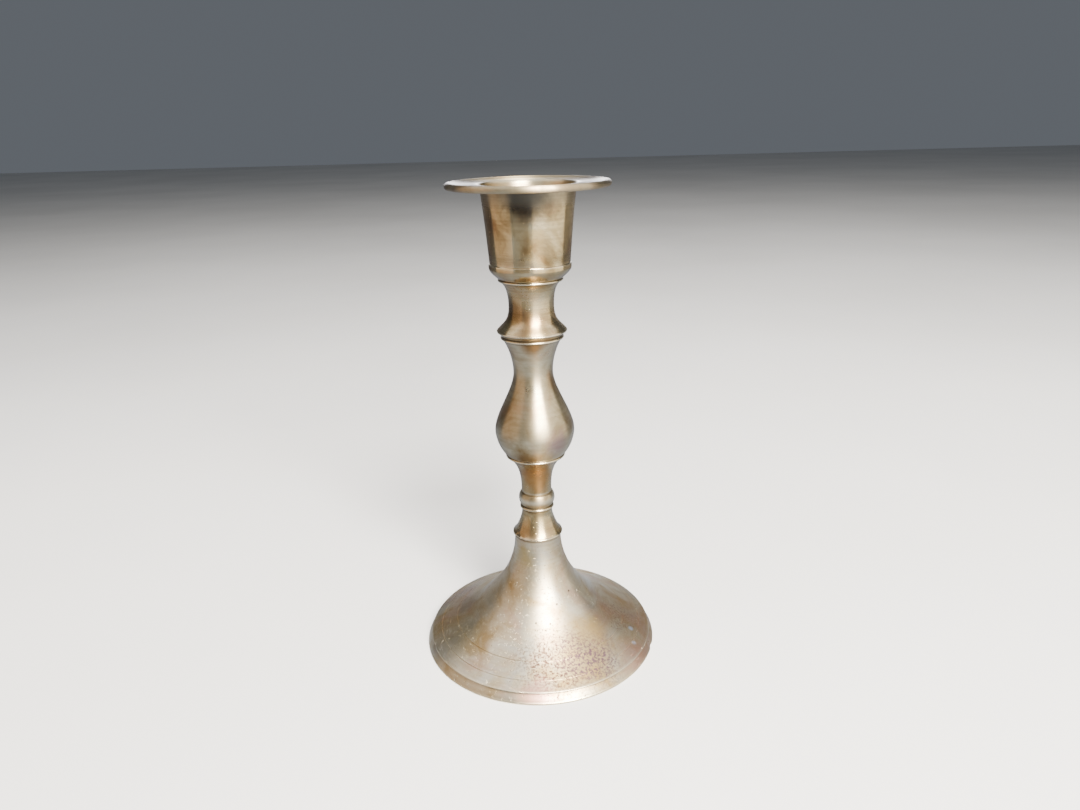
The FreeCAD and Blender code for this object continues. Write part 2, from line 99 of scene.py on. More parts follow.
def add_node(tree: Tree, kind: str, inputs: dict[Any, Any] | None = None, stops: Sequence[tuple[float, Any]] = (),
             out: int | str = 0, **settings: Any) -> Socket | None:
    """Adds a node with its settings, its links and its constants.

    Args:
        tree: The tree it goes in.
        kind: Blender's name for the kind of node, after "ShaderNode".
        inputs: An input's name or number, with the output that feeds it or the value it holds.
        stops: Places and colours along a colour ramp.
        out: Which of its outputs is wanted.
        settings: The node's own properties.

    Returns:
        That output, or None for a node without outputs.
    """
    node = tree.nodes.new("ShaderNode" + kind)
    for name, value in settings.items():
        setattr(node, name, value)
    for key, value in (inputs or {}).items():
        if isinstance(value, Socket):
            tree.links.new(value, node.inputs[key])
        else:
            node.inputs[key].default_value = value
    for index, (place, colour) in enumerate(stops):
        ramp = node.color_ramp.elements
        stop = ramp[index] if index < 2 else ramp.new(place)
        stop.position = place
        stop.color = colour
    return node.outputs[out] if node.outputs else None


@dataclass(frozen=True)
class StainAndPaintedShade:
    """A patch of other colour on the metal, with a ragged border: mostly real stains, but on the cup a patch of
    painted shade and painted reflection.
    """

    centre: Place  # mm, in the candlestick's own frame
    reach: float  # mm
    colour: str
    strength: float
    ragged: float = 0.5  # how far noise moves the border, as a share of the reach
    speckled: bool = False


class Finish:
    """A procedural material, named for what the real one is and how its surface was made."""

    name: str

    def make(self) -> bpy.types.Material:
        """Builds the material.

        Returns:
            The finished material.
        """
        material = bpy.data.materials.new(self.name)
        material.use_nodes = True
        tree = material.node_tree
        tree.nodes.clear()
        shader = self.surface(tree, add_node(tree, "TexCoord", out="Object"))
        add_node(tree, "OutputMaterial", {"Surface": shader})
        return material

    def surface(self, tree: Tree, place: Socket) -> Socket:
        """The shader, from Object coordinates."""
        raise NotImplementedError


@dataclass(frozen=True)
class Patterns:
    """What the layers of a brass finish read."""

    place: Socket  # Object coordinates
    clouds: Socket
    flecks: Socket
    spots: Socket  # the flecks that show as small dark spots
    lines: Socket  # lathe lines


@dataclass(frozen=True)
class BrassFinish(Finish):
    """Turned brass, aged. The lathe lines stretch its highlights, tarnish clouds it and handling brightens edges."""

    name: str
    body: str
    pale: str
    brown: str
    bloom: str
    rubbed: str
    grime: str
    dull: str
    roughness: float
    grain: float  # how far the lathe lines stretch a reflection along the outline, 0 to 1
    line_spacing: float  # mm
    line_depth: float  # mm
    cloud: float  # mm, size of the tarnish clouds
    fleck: float  # mm, size of the smallest spots
    fleck_share: float  # 0 none, 1 nearly all
    pit_depth: float  # mm
    stains_and_painted_shade: tuple[StainAndPaintedShade, ...] = ()

    def surface(self, tree: Tree, place: Socket) -> Socket:
        """The metal, with its lathe lines raised and its spots pitted.

        Args:
            tree: The material's tree.
            place: Object coordinates.

        Returns:
            The shader.
        """
        clouds = add_node(tree, "TexNoise", {
            "Vector": place, "Scale": 1 / (self.cloud * MM), "Detail": 6.0, "Roughness": 0.62, "Distortion": 0.5})
        flecks = add_node(tree, "TexNoise", {
            "Vector": place, "Scale": 1 / (self.fleck * MM), "Detail": 3.0, "Roughness": 0.7})
        spots = add_node(tree, "MapRange", {"Value": flecks, "From Min": 0.72 - 0.25 * self.fleck_share,
            "From Max": 0.76 - 0.2 * self.fleck_share}, interpolation_type="SMOOTHSTEP")
        seen = Patterns(place, clouds, flecks, spots, self._lathe_lines(tree, place))
        colour = self._tarnish(tree, seen)
        # Each patch is real tarnish, except the cup's dark patch, which is painted shade and painted reflection.
        for stain_or_shade in self.stains_and_painted_shade:
            colour = self._stained_or_shaded(tree, seen, colour, stain_or_shade)
        worn = {mark: add_node(tree, "Attribute", out="Fac", attribute_name=mark.value) for mark in Mark}
        uneven = add_node(tree, "MapRange", {
            "Value": seen.clouds, "From Min": 0.35, "From Max": 0.65, "To Min": 0.95, "To Max": 0.5})
        shares = {Mark.DULLED: 0.4, Mark.RUBBED: uneven, Mark.GRIMY: 0.85}
        layers = {Mark.DULLED: self.dull, Mark.RUBBED: self.rubbed, Mark.GRIMY: self.grime}
        for mark, share in shares.items():
            amount = add_node(tree, "Math", {0: worn[mark], 1: share}, operation="MULTIPLY")
            colour = add_node(tree, "Mix", {
                0: amount, 6: colour, 7: linear(layers[mark])}, out=2, data_type="RGBA")
            worn[mark] = worn[mark] if mark is Mark.DULLED else amount
        bump = add_node(tree, "Bump", {"Strength": 1.0, "Distance": self.line_depth * MM, "Height": seen.lines})
        pits = add_node(tree, "Bump", {"Strength": 1.0, "Distance": self.pit_depth * MM, "Height": seen.spots,
            "Normal": bump}, invert=True)
        return add_node(tree, "BsdfPrincipled", {
            "Base Color": colour, "Metallic": 1.0, "Roughness": self._roughness(tree, seen, worn),
            "Anisotropic": self.grain, "Anisotropic Rotation": 0.25, "Normal": pits})

    def _lathe_lines(self, tree: Tree, place: Socket) -> Socket:
        """Rings about the axis, which read the radius and the height and so run round every face of the piece.

        Args:
            tree: The material's tree.
            place: Object coordinates.

        Returns:
            The height of the surface, 0 to 1.
        """
        flat = add_node(tree, "VectorMath", {0: place, 1: (1.0, 1.0, 0.0)}, operation="MULTIPLY")
        radius = add_node(tree, "VectorMath", {0: flat}, out="Value", operation="LENGTH")
        axial = add_node(tree, "SeparateXYZ", {0: place}, out=2)
        wander = add_node(tree, "TexNoise", {"Vector": place, "Scale": 45.0, "Detail": 1.0})
        drift = add_node(tree, "Math", {
            0: wander, 1: 0.4 * self.line_spacing * MM, 2: 0.0}, operation="MULTIPLY_ADD")
        pair = add_node(tree, "CombineXYZ", {0: radius, 1: axial, 2: drift})
        return add_node(tree, "TexNoise", {
            "Vector": pair, "Scale": 1 / (self.line_spacing * MM), "Detail": 3.0, "Roughness": 0.75})

    def _tarnish(self, tree: Tree, seen: Patterns) -> Socket:
        """The metal's colour before stains and wear: pale to brown clouds, copper bloom, darker lines and spots.

        Args:
            tree: The material's tree.
            seen: The patterns.

        Returns:
            The colour.
        """
        base = add_node(tree, "ValToRGB", {0: seen.clouds}, stops=(
            (0.36, linear(self.pale)), (0.66, linear(self.brown)), (0.50, linear(self.body))))
        wide = add_node(tree, "TexNoise", {
            "Vector": seen.place, "Scale": 0.55 / (self.cloud * MM), "Detail": 4.0, "Roughness": 0.6,
            "Distortion": 1.2})
        bloom = add_node(tree, "MapRange", {"Value": wide, "From Min": 0.48, "From Max": 0.66, "To Max": 0.55})
        blushed = add_node(tree, "Mix", {0: bloom, 6: base, 7: linear(self.bloom)}, out=2, data_type="RGBA")
        lined = add_node(tree, "MapRange", {
            "Value": seen.lines, "From Min": 0.34, "From Max": 0.56, "To Min": 0.30, "To Max": 0.0})
        streaked = add_node(tree, "Mix", {0: lined, 6: blushed, 7: linear(self.brown)}, out=2, data_type="RGBA")
        share = add_node(tree, "Math", {0: seen.spots, 1: 0.4 + 0.4 * self.fleck_share}, operation="MULTIPLY")
        return add_node(tree, "Mix", {0: share, 6: streaked, 7: linear(self.grime)}, out=2, data_type="RGBA")

    def _stained_or_shaded(self, tree: Tree, seen: Patterns, colour: Socket, stain_or_shade: StainAndPaintedShade) -> Socket:
        """Lays one stain, or the cup's patch of painted shade, over the colour.

        Args:
            tree: The material's tree.
            seen: The patterns, whose flecks break a speckled stain up.
            colour: The colour under it.
            stain_or_shade: The stain, or the patch of painted shade.

        Returns:
            The colour with the stain or painted shade laid over it.
        """
        centre = tuple(value * MM for value in stain_or_shade.centre)
        away = add_node(tree, "VectorMath", {0: seen.place, 1: centre}, out="Value", operation="DISTANCE")
        border = add_node(tree, "TexNoise", {
            "Vector": seen.place, "Scale": 2.2 / (stain_or_shade.reach * MM), "Detail": 5.0, "Roughness": 0.65})
        shift = add_node(tree, "Math", {0: border, 1: 2 * stain_or_shade.ragged * stain_or_shade.reach * MM,
            2: away}, operation="MULTIPLY_ADD")
        edge = stain_or_shade.reach * MM * (1 + stain_or_shade.ragged)
        amount = add_node(tree, "MapRange", {"Value": shift, "From Min": 0.45 * edge, "From Max": edge,
            "To Min": stain_or_shade.strength, "To Max": 0.0}, interpolation_type="SMOOTHSTEP")
        if stain_or_shade.speckled:
            broken = add_node(tree, "MapRange", {"Value": seen.flecks, "From Min": 0.45, "From Max": 0.58})
            amount = add_node(tree, "Math", {0: amount, 1: broken}, operation="MULTIPLY")
        return add_node(tree, "Mix", {0: amount, 6: colour, 7: linear(stain_or_shade.colour)}, out=2, data_type="RGBA")

    def _roughness(self, tree: Tree, seen: Patterns, worn: dict[Mark, Socket]) -> Socket:
        """Tarnish, spots, wax and grime are duller than the metal between them, and rubbed crests are glossier.

        Args:
            tree: The material's tree.
            seen: The patterns.
            worn: How much of each mark there is.

        Returns:
            The roughness.
        """
        cloudy = add_node(tree, "MapRange", {"Value": seen.clouds, "From Min": 0.3, "From Max": 0.7,
            "To Min": self.roughness - 0.05, "To Max": self.roughness + 0.09})
        rough = cloudy
        for cause, change in ((seen.lines, -0.10), (seen.spots, 0.22), (worn[Mark.RUBBED], -0.08),
                              (worn[Mark.GRIMY], 0.35), (worn[Mark.DULLED], 0.28)):
            rough = add_node(tree, "Math", {
                0: cause, 1: change, 2: rough}, operation="MULTIPLY_ADD", use_clamp=True)
        return rough


@dataclass(frozen=True)
class SandCastFinish(Finish):
    """Brass as it left the sand mould: dull, brown and granular. It gives the hollow its matt, gritty look."""

    name: str = "brass_as_cast"
    pale: str = "#9a7f55"
    dark: str = "#4e3f2c"
    grit: float = 0.7  # mm between sand grains, drawn coarser than the real 0.3 so that it shows
    depth: float = 0.12  # mm

    def surface(self, tree: Tree, place: Socket) -> Socket:
        """The shader.

        Args:
            tree: The material's tree.
            place: Object coordinates.

        Returns:
            Its output.
        """
        sand = add_node(tree, "TexNoise", {
            "Vector": place, "Scale": 1 / (self.grit * MM), "Detail": 4.0, "Roughness": 0.7})
        patches = add_node(tree, "TexNoise", {"Vector": place, "Scale": 110.0, "Detail": 4.0, "Roughness": 0.6})
        blend = add_node(tree, "Math", {0: sand, 1: 0.5, 2: patches}, operation="MULTIPLY_ADD")
        colour = add_node(tree, "ValToRGB", {0: blend}, stops=(
            (0.62, linear(self.dark)), (0.92, linear(self.pale))))
        rough = add_node(tree, "MapRange", {"Value": sand, "To Min": 0.48, "To Max": 0.72})
        bump = add_node(tree, "Bump", {"Strength": 1.0, "Distance": self.depth * MM, "Height": sand})
        return add_node(tree, "BsdfPrincipled", {"Base Color": colour, "Metallic": 1.0, "Roughness": rough,
            "Normal": bump})


@dataclass(frozen=True)
class ZincFinish(Finish):
    """Zinc-plated steel. It looks grey and slightly blue, with a faint crystalline mottle and white bloom."""

    name: str
    plate: str
    bloom: str
    roughness: float
    mottle: float  # mm

    def surface(self, tree: Tree, place: Socket) -> Socket:
        """The shader.

        Args:
            tree: The material's tree.
            place: Object coordinates.

        Returns:
            Its output.
        """
        cells = add_node(tree, "TexVoronoi", {"Vector": place, "Scale": 1 / (self.mottle * MM)})
        haze = add_node(tree, "TexNoise", {
            "Vector": place, "Scale": 0.4 / (self.mottle * MM), "Detail": 5.0, "Roughness": 0.65})
        mixed = add_node(tree, "Math", {0: cells, 1: 0.25, 2: haze}, operation="MULTIPLY_ADD")
        colour = add_node(tree, "ValToRGB", {0: mixed}, stops=(
            (0.45, linear(self.plate)), (0.80, linear(self.bloom))))
        rough = add_node(tree, "MapRange", {
            "Value": mixed, "To Min": self.roughness - 0.08, "To Max": self.roughness + 0.2})
        bump = add_node(tree, "Bump", {"Strength": 1.0, "Distance": 0.01 * MM, "Height": haze})
        return add_node(tree, "BsdfPrincipled", {"Base Color": colour, "Metallic": 1.0, "Roughness": rough,
            "Normal": bump})


@dataclass(frozen=True)
class FloorFinish(Finish):
    """Matt pale board, with the slight unevenness of rolled paint."""

    name: str = "painted_board"
    pale: str = "#c6c5c2"
    paler: str = "#cecdca"

    def surface(self, tree: Tree, place: Socket) -> Socket:
        """The shader.

        Args:
            tree: The material's tree.
            place: Object coordinates.

        Returns:
            Its output.
        """
        roll = add_node(tree, "TexNoise", {"Vector": place, "Scale": 3.0, "Detail": 4.0})
        colour = add_node(tree, "ValToRGB", {0: roll}, stops=(
            (0.35, linear(self.pale)), (0.65, linear(self.paler))))
        return add_node(tree, "BsdfPrincipled", {
            "Base Color": colour, "Roughness": 0.75, "Specular IOR Level": 0.25})


@dataclass(frozen=True)
class CardFinish(Finish):
    """Matt card, which gives little back."""

    name: str
    tone: str

    def surface(self, tree: Tree, place: Socket) -> Socket:
        """The shader.

        Args:
            tree: The material's tree.
            place: Object coordinates.

        Returns:
            Its output.
        """
        return add_node(tree, "BsdfPrincipled", {
            "Base Color": linear(self.tone), "Roughness": 1.0, "Specular IOR Level": 0.0})


class Outline:
    """Half a section of a turned piece, in mm: each call adds points up to a new end."""

    def __init__(self, radius: float, height: float, pitch: float = 0.45) -> None:
        """Starts the outline.

        Args:
            radius: Radius of the first point.
            height: Height of the first point.
            pitch: The longest step between points of a face that shows.
        """
        self.points: list[Point] = [(radius, height)]
        self.pitch = pitch

    def line(self, radius: float, height: float, shows: bool = False) -> "Outline":
        """Adds a straight edge.

        Args:
            radius: Radius of its end.
            height: Height of its end.
            shows: Whether it is stepped finely, as a face that shows is.

        Returns:
            The outline.
        """
        r0, z0 = self.points[-1]
        length = math.hypot(radius - r0, height - z0)
        steps = max(1, math.ceil(length / self.pitch)) if shows else 1
        for step in range(1, steps + 1):
            t = step / steps
            self.points.append((r0 + (radius - r0) * t, z0 + (height - z0) * t))
        return self

    def arc(self, middle: Point, end: Point, steps: int = 8) -> "Outline":
        """Adds a circular edge.

        Args:
            middle: A point that it passes.
            end: Its end.
            steps: How many straight pieces it is drawn with.

        Returns:
            The outline.
        """
        a, b, c = (complex(*p) for p in (self.points[-1], middle, end))
        w = (c - a) / (b - a)
        centre = (b - a) * (w - abs(w) ** 2) / (2j * w.imag) + a
        first = math.atan2((a - centre).imag, (a - centre).real)
        span = [math.remainder(math.atan2((p - centre).imag, (p - centre).real) - first, math.tau) for p in (b, c)]
        if span[0] * span[1] < 0 or abs(span[0]) > abs(span[1]):
            span[1] -= math.copysign(math.tau, span[1])
        for step in range(1, steps + 1):
            turn = first + span[1] * step / steps
            self.points.append((centre.real + abs(a - centre) * math.cos(turn),
                                centre.imag + abs(a - centre) * math.sin(turn)))
        return self

    def curve(self, first: Point, second: Point, end: Point) -> "Outline":
        """Adds a cubic edge.

        Args:
            first: The step from its start to its first handle.
            second: The step from its end to its second handle.
            end: Its end.

        Returns:
            The outline.
        """
        start = self.points[-1]
        poles = cubic_poles(start, first, second, end)
        length = sum(math.dist(poles[i], poles[i + 1]) for i in range(3))
        steps = max(4, math.ceil(length / self.pitch))
        self.points += [cubic_point(poles, step / steps) for step in range(1, steps + 1)]
        return self


def cubic_poles(start: Point, first: Point, second: Point, end: Point) -> list[Point]:
    """The four poles of a cubic edge given by handle steps.

    Args:
        start: Its start.
        first: The step from its start to its first handle.
        second: The step from its end to its second handle.
        end: Its end.

    Returns:
        The poles.
    """
    return [start, (start[0] + first[0], start[1] + first[1]), (end[0] + second[0], end[1] + second[1]), end]


def cubic_point(poles: Sequence[Point], t: float) -> Point:
    """A point of a cubic edge.

    Args:
        poles: Its four poles.
        t: How far along it is, 0 to 1.

    Returns:
        Radius and height.
    """
    weights = ((1 - t) ** 3, 3 * t * (1 - t) ** 2, 3 * t * t * (1 - t), t ** 3)
    return (sum(w * p[0] for w, p in zip(weights, poles)), sum(w * p[1] for w, p in zip(weights, poles)))


@dataclass(frozen=True)
class Dent:
    """A small knock in an edge."""

    bearing: float  # degrees about the axis, from the front, to the right
    radius: float  # mm
    height: float  # mm
    reach: float  # mm
    depth: float  # mm


@dataclass
class TurnedPiece:
    """A piece made by spinning its outline round the axis. Sizes are in mm."""

    name: str
    node: str
    base: float
    height: float
    segments: int = 200
    wave: float = 0.035  # how uneven hand polishing has left the surface
    wave_size: float = 6.0
    slot: Slot = Slot.TURNED
    dents: tuple[Dent, ...] = ()

    @property
    def high(self) -> float:
        """The height of its upper shoulder."""
        return self.base + self.height

    def outline(self) -> Outline:
        """The closed outline, from the bore outwards and back."""
        raise NotImplementedError

    def crests(self) -> list[Place]:
        """Radius, height and width of each edge that handling has rubbed bright."""
        return []

    def grooves(self) -> list[Place]:
        """Radius, height and width of each groove that holds grime."""
        return []

    def dulled(self) -> list[Place]:
        """Radius, height and width of each place that is duller than the rest."""
        return []

    def build(self) -> Object:
        """Spins, closes, evens out and marks the piece.

        Returns:
            The finished object, at the origin.
        """
        piece = self._spin(self.outline().points)
        for dent in self.dents:
            self._knock(piece, dent)
        self._polish_by_hand(piece)
        bpy.ops.object.shade_smooth_by_angle(angle=math.radians(32))
        self._mark(piece, Mark.RUBBED, self.crests())
        self._mark(piece, Mark.GRIMY, self.grooves())
        self._mark(piece, Mark.DULLED, self.dulled())
        return piece

    def _spin(self, points: Sequence[Point]) -> Object:
        """Draws the outline edge by edge from one vertex and spins it.

        Args:
            points: The outline.

        Returns:
            The closed shell.
        """
        bpy.ops.object.select_all(action="DESELECT")
        bpy.ops.mesh.primitive_plane_add(size=MM, location=(0, 0, 0))
        piece = bpy.context.active_object
        piece.name = self.name
        piece.data.name = self.name
        bpy.ops.object.mode_set(mode="EDIT")
        bpy.ops.mesh.select_all(action="SELECT")
        bpy.ops.mesh.merge(type="CENTER")
        bpy.ops.transform.translate(value=(points[0][0] * MM, 0, points[0][1] * MM))
        for (r0, z0), (r1, z1) in zip(points, points[1:]):
            bpy.ops.mesh.extrude_region_move(TRANSFORM_OT_translate={"value": ((r1 - r0) * MM, 0, (z1 - z0) * MM)})
        bpy.ops.mesh.select_all(action="SELECT")
        bpy.ops.mesh.spin(steps=self.segments, angle=math.tau, center=(0, 0, 0), axis=(0, 0, 1), use_auto_merge=True)
        bpy.ops.mesh.select_all(action="SELECT")
        bpy.ops.mesh.remove_doubles(threshold=0.006 * MM)
        bpy.ops.mesh.normals_make_consistent(inside=False)
        bpy.ops.object.mode_set(mode="OBJECT")
        return piece

    def _knock(self, piece: Object, dent: Dent) -> None:
        """Presses one dent towards the axis.

        Args:
            piece: The piece.
            dent: Where it is and how deep.
        """
        turn = math.radians(dent.bearing - 90)
        out = Vector((math.cos(turn), math.sin(turn), 0))
        spot = (out * dent.radius + Vector((0, 0, dent.height))) * MM
        near = [v.index for v in piece.data.vertices if (v.co - spot).length < 0.5 * dent.reach * MM]
        for parts in (piece.data.vertices, piece.data.edges, piece.data.polygons):
            parts.foreach_set("select", [False] * len(parts))
        for index in near:
            piece.data.vertices[index].select = True
        bpy.ops.object.mode_set(mode="EDIT")
        bpy.ops.mesh.select_mode(type="VERT")
        bpy.ops.transform.translate(value=-out * dent.depth * MM, use_proportional_edit=True,
                                    proportional_edit_falloff="SMOOTH", proportional_size=dent.reach * MM)
        bpy.ops.object.mode_set(mode="OBJECT")

    def _polish_by_hand(self, piece: Object) -> None:
        """Sinks the surface by a few hundredths of a millimetre here and there, so reflections wander.

        Args:
            piece: The piece.
        """
        unevenness = bpy.data.textures.new(self.name + "_wave", "CLOUDS")
        unevenness.noise_scale = self.wave_size * MM
        unevenness.noise_depth = 1
        sink = piece.modifiers.new("wave", "DISPLACE")
        sink.texture = unevenness
        sink.texture_coords = "LOCAL"
        sink.mid_level = 1.0
        sink.strength = self.wave * MM
        bpy.ops.object.modifier_apply(modifier=sink.name)

    def _mark(self, piece: Object, mark: Mark, spots: Sequence[Place]) -> None:
        """Writes how close each vertex is to the marked edges.

        Args:
            piece: The piece.
            mark: Which attribute is written.
            spots: Radius, height and width of each edge.
        """
        co = np.zeros(len(piece.data.vertices) * 3)
        piece.data.vertices.foreach_get("co", co)
        co = co.reshape(-1, 3) / MM
        radius = np.hypot(co[:, 0], co[:, 1])
        amount = np.zeros(len(co))
        for r, z, width in spots:
            away = np.hypot(radius - r, co[:, 2] - z)
            amount = np.maximum(amount, np.exp(-(away / width) ** 2))
        attribute = piece.data.attributes.new(mark.value, "FLOAT", "POINT")
        attribute.data.foreach_set("value", amount.astype(np.float32))

    def dress(self, piece: Object, material: bpy.types.Material) -> None:
        """Gives the piece its material and hangs it on the frame.

        Args:
            piece: The piece.
            material: Its material.
        """
        piece.data.materials.append(material)
        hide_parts(self.node)
        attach(piece, "root")
        log.info("%s: %d faces, for %s", piece.name, len(piece.data.polygons), self.node)


@dataclass(frozen=True)
class Fits:
    """Sizes that several pieces share, in mm."""

    hole: float = 2.65
    spigot: float = 5.0
    slim_spigot: float = 3.9
    foot_spigot: float = 4.6
    spigot_length: float = 4.0
    slim_grip: float = 2.6
    radial: float = 0.05
    end_gap: float = 0.2
    ridge_round: float = 0.2
    seam_groove: float = 0.1
    seam_step: float = 0.15


FITS = Fits()


@dataclass
class Foot(TurnedPiece):
    """The hollow cast foot: a trumpet flare over a stepped plinth, with two fine turned lines on it."""

    radius: float = 40.9
    disc: float = 39.45
    plinth: float = 3.35
    edge: float = 0.45
    undercut: float = 0.75
    neck: float = 8.05
    neck_swell: float = 0.05
    neck_straight: float = 2.6
    wall: float = 2.2
    rim: float = 3.0
    rim_depth: float = 1.4
    rim_taper: float = 0.4
    boss: float = 14.0
    cavity_fillet: float = 1.2
    ring_insets: tuple[float, float] = (3.6, 9.3)
    ring_round: float = 0.14
    dents: tuple[Dent, ...] = (Dent(73, 40.6, 1.0, 1.6, 0.35), Dent(-72, 39.3, 3.4, 1.8, 0.25))

    def flare(self) -> list[Point]:
        """The poles of the flare, from the crisp edge up to the neck."""
        start = (self.disc - self.edge / 3, self.plinth + self.edge)
        end = (self.neck + self.neck_swell, self.height - self.neck_straight)
        return cubic_poles(start, (-13.0, 6.0), (1.6, -18.9), end)

    def outline(self) -> Outline:
        """From the spigot down the outside to the table, and up through the hollow.

        Returns:
            The outline.
        """
        top = self.height + FITS.spigot_length
        line = Outline(FITS.hole, top, pitch=0.5).line(FITS.foot_spigot, top).line(FITS.foot_spigot, self.height)
        line.line(self.neck, self.height)
        line.curve((0, -0.9), (-0.1, 0.9), (self.neck + self.neck_swell, self.height - self.neck_straight))
        poles = self.flare()
        rings = [poles[0][0] - inset for inset in self.ring_insets]
        line.points += [cubic_point(poles, 1 - step / 120) for step in range(1, 121)]
        line.points = with_rings(line.points, poles, rings, self.ring_round)
        disc_edge = self.disc - self.edge / 3
        line.arc((self.disc, self.plinth + self.edge / 2), (disc_edge, self.plinth))
        line.line(self.disc - self.undercut, self.plinth)
        line.curve((0.25, -0.7), (-0.5, 0.9), (self.radius - 0.2, 0.8))
        line.arc((self.radius, 0.4), (self.radius - 0.4, 0.0))
        inner_rim = self.radius - self.rim
        line.line(inner_rim, 0.0, shows=True).line(inner_rim - self.rim_taper, self.rim_depth)
        for point in self.hollow(poles):
            line.line(*point, shows=True)
        return line.line(FITS.hole, self.height - self.boss, shows=True).line(FITS.hole, top)

    def hollow(self, poles: Sequence[Point]) -> list[Point]:
        """The inside of the wall, up to the rounded corner under the boss.

        Args:
            poles: The flare's poles.

        Returns:
            Its points from the rim up.
        """
        ceiling = self.height - self.boss
        inner: list[Point] = []
        for step in range(8, 100, 3):
            t = step / 100
            (r, z), (r2, z2) = cubic_point(poles, t), cubic_point(poles, t + 0.001)
            length = math.hypot(r2 - r, z2 - z)
            point = (r - self.wall * (z2 - z) / length, z + self.wall * (r2 - r) / length)
            if point[1] > ceiling - self.cavity_fillet:
                break
            inner.append(point)
        r, z = inner[-1]
        corner = Outline(r, z).arc((r - 0.75, z + 0.85 * (ceiling - z)), (r - 1.9, ceiling))
        return inner + corner.points[1:]

    def crests(self) -> list[Place]:
        """The crisp edge of the disc and the toe."""
        return [(self.disc, self.plinth + self.edge / 2, 0.45), (self.radius, 0.5, 0.4)]

    def grooves(self) -> list[Place]:
        """The seam under the collar."""
        return [(self.neck, self.height, 0.6)]

    def split_hollow(self, piece: Object, material: bpy.types.Material) -> None:
        """Gives the faces of the hollow their own material.

        Args:
            piece: The foot.
            material: The material inside.
        """
        piece.data.materials.append(material)
        poles = self.flare()
        ceiling = self.height - self.boss
        for face in piece.data.polygons:
            z = face.center.z / MM
            r = math.hypot(face.center.x, face.center.y) / MM
            if FITS.hole + 0.1 < r and self.rim_depth * 0.5 < z < ceiling + 0.3 and face_is_inside(poles, r, z):
                face.material_index = 1


def radius_height(poles: Sequence[Point], radius: float) -> float:
    """The height at which a flare passes a radius.

    Args:
        poles: The flare, whose radius falls along it.
        radius: The radius.

    Returns:
        The height.
    """
    low, high = 0.0, 1.0
    for _ in range(30):
        middle = (low + high) / 2
        if cubic_point(poles, middle)[0] > radius:
            low = middle
        else:
            high = middle
    return cubic_point(poles, low)[1]


def face_is_inside(poles: Sequence[Point], radius: float, height: float) -> bool:
    """Whether a point lies more than half a wall inside the flare.

    Args:
        poles: The flare.
        radius: The point's radius.
        height: The point's height.

    Returns:
        True inside.
    """
    if radius > poles[0][0] - 0.5:
        return radius < poles[0][0] + 0.5 and height < 2.0
    return radius_height(poles, radius) - height > 1.2


def with_rings(points: Sequence[Point], poles: Sequence[Point], rings: Sequence[float], reach: float) -> list[Point]:
    """Cuts fine round grooves into the run of points that follows a flare outwards.

    Args:
        points: The outline so far.
        poles: The flare.
        rings: The radius of each groove.
        reach: Half its width, which is also its depth.

    Returns:
        The outline with the grooves.
    """
    made = list(points)
    for ring in rings:
        z = radius_height(poles, ring)
        made = [p for p in made if abs(p[0] - ring) > reach + 0.02 or abs(p[1] - z) > 1.0]
        at = next(i for i, p in enumerate(made) if p[0] > ring and abs(p[1] - z) < 2.0)
        cut = []
        for step in range(7):
            r = ring - reach + 2 * reach * step / 6
            sink = math.sqrt(max(0.0, reach ** 2 - (r - ring) ** 2))
            cut.append((r, radius_height(poles, r) - sink))
        made = made[:at] + cut + made[at:]
    return made


@dataclass
class SkirtCollar(TurnedPiece):
    """The flared collar with a rolled lip over the foot's neck and a small ridge on top."""

    lip: float = 8.62
    lip_thickness: float = 0.8
    lip_round: float = 0.3
    waist: float = 5.25
    waist_height: float = 8.4
    ridge: float = 5.85
    ridge_thickness: float = 1.05
    top: float = 5.35
    dents: tuple[Dent, ...] = (Dent(-58, 8.6, 41.4, 1.3, 0.22), Dent(-40, 8.6, 41.4, 0.9, 0.16))

    def outline(self) -> Outline:
        """Up the outside and down through the two recesses.

        Returns:
            The outline.
        """
        low, high = self.base, self.high
        ridge_low = high - FITS.seam_groove - self.ridge_thickness
        ridge_high = ridge_low + self.ridge_thickness
        below = FITS.foot_spigot + FITS.radial
        above = FITS.slim_spigot + FITS.radial
        below_end = low + FITS.spigot_length + FITS.end_gap
        above_end = high - FITS.slim_grip - FITS.end_gap
        line = Outline(below, low, pitch=0.3).line(self.lip - self.lip_round, low)
        line.arc((self.lip, low + self.lip_thickness / 2), (self.lip - self.lip_round, low + self.lip_thickness))
        line.curve((-1.35, 1.1), (0, -1.6), (self.waist, low + self.waist_height))
        line.line(self.waist, ridge_low, shows=True)
        line.arc((self.ridge, (ridge_low + ridge_high) / 2), (self.top, ridge_high)).line(self.top, high)
        line.line(above, high).line(above, above_end).line(FITS.hole, above_end)
        return line.line(FITS.hole, below_end).line(below, below_end).line(below, low)

    def crests(self) -> list[Place]:
        """The rolled lip and the ridge."""
        return [(self.lip, self.base + self.lip_thickness / 2, 0.45), (self.ridge, self.high - 0.6, 0.4)]

    def grooves(self) -> list[Place]:
        """Under the ridge and at the seam above it."""
        return [(self.waist, self.high - 1.25, 0.25), (self.top, self.high, 0.25), (self.lip - 0.5, self.base, 0.3)]


